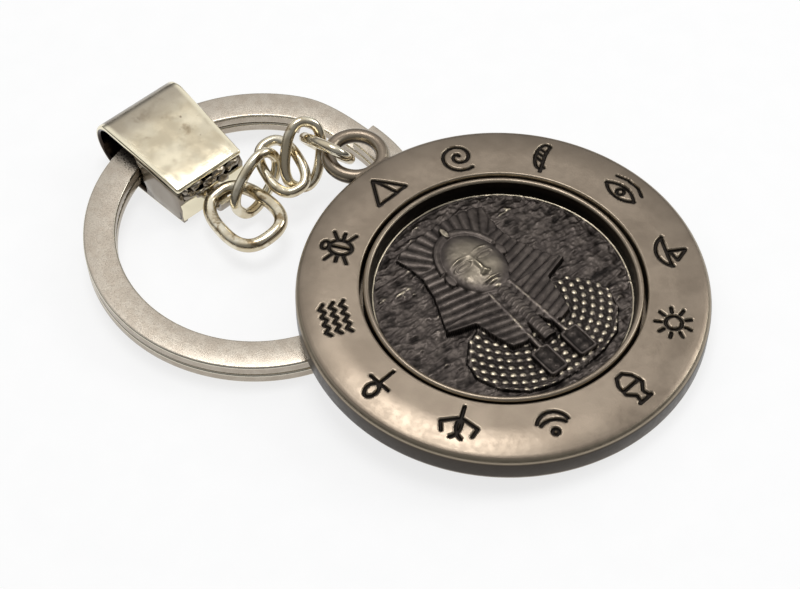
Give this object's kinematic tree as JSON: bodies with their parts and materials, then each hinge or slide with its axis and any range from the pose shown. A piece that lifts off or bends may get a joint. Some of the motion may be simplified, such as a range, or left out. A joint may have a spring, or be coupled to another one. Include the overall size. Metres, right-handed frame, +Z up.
{
  "type": "medallion keychain",
  "caption": "Keychain with a flat-wire split ring, a folded sheet clasp, a short chain of wire links and a round cast medallion with a sunk relief of a bust in a headcloth.",
  "frame": {"origin": "middle of the object's bounding box, on the plane that it lies on", "axes": "+X from the split ring to the medallion, +Z up out of the medallion's front"},
  "size_m": [0.0684, 0.04, 0.0082],
  "materials": {
    "ring_nickel": "satin nickel plate on spring steel",
    "clasp_nickel": "warm nickel plate on folded steel sheet, slightly pitted",
    "link_nickel": "bright nickel plate on steel wire",
    "medal_pewter": "antiqued pewter plate on a zinc casting, polished on its high parts",
    "relief_pewter": "darkened pewter plate on a zinc casting, hammered ground"
  },
  "bodies": {
    "ring": {"split_ring": "ring_nickel"},
    "clasp": {"clasp_strap": "clasp_nickel"},
    "loop": {"end_link": "link_nickel"},
    "link_1": {"chain_link_1": "link_nickel"},
    "link_2": {"chain_link_2": "link_nickel"},
    "link_3": {"chain_link_3": "link_nickel"},
    "link_4": {"chain_link_4": "link_nickel"},
    "medallion": {"medal_frame": "medal_pewter", "relief_insert": "relief_pewter"}
  },
  "joints": [
    {"name": "clasp_swing", "type": "hinge", "parent": "ring", "child": "clasp", "pos_m": [-0.02783, 0.00712, 0.00275], "axis": [-0.4226, -0.9063, 0], "range_deg": [0, 18]},
    {"name": "end_link_swing", "type": "hinge", "parent": "clasp", "child": "loop", "pos_m": [-0.01856, 0.0028, 0.0026], "axis": [-0.4339, -0.8967, -0.088], "range_deg": [0, 36]},
    {"name": "link_1_swing", "type": "hinge", "parent": "loop", "child": "link_1", "pos_m": [-0.0146, 0.00424, 0.0022], "axis": [-0.8367, -0.4412, -0.3245], "range_deg": [0, 20]},
    {"name": "link_2_swing", "type": "hinge", "parent": "link_1", "child": "link_2", "pos_m": [-0.01528, 0.00746, 0.00456], "axis": [-0.4117, -0.3612, 0.8367], "range_deg": [0, 50]},
    {"name": "link_3_swing", "type": "hinge", "parent": "link_2", "child": "link_3", "pos_m": [-0.01237, 0.00545, 0.00346], "axis": [0.1083, -0.0166, -0.994], "range_deg": [-10, 8]},
    {"name": "link_4_swing", "type": "hinge", "parent": "link_3", "child": "link_4", "pos_m": [-0.01115, 0.01055, 0.00596], "axis": [-0.0131, -0.2193, -0.9756], "range_deg": [-5, 26]},
    {"name": "medallion_swing", "type": "hinge", "parent": "link_4", "child": "medallion", "pos_m": [-0.00855, 0.01054, 0.00501], "axis": [0.3869, -0.8789, 0.2789], "range_deg": [0, 40]}
  ]
}
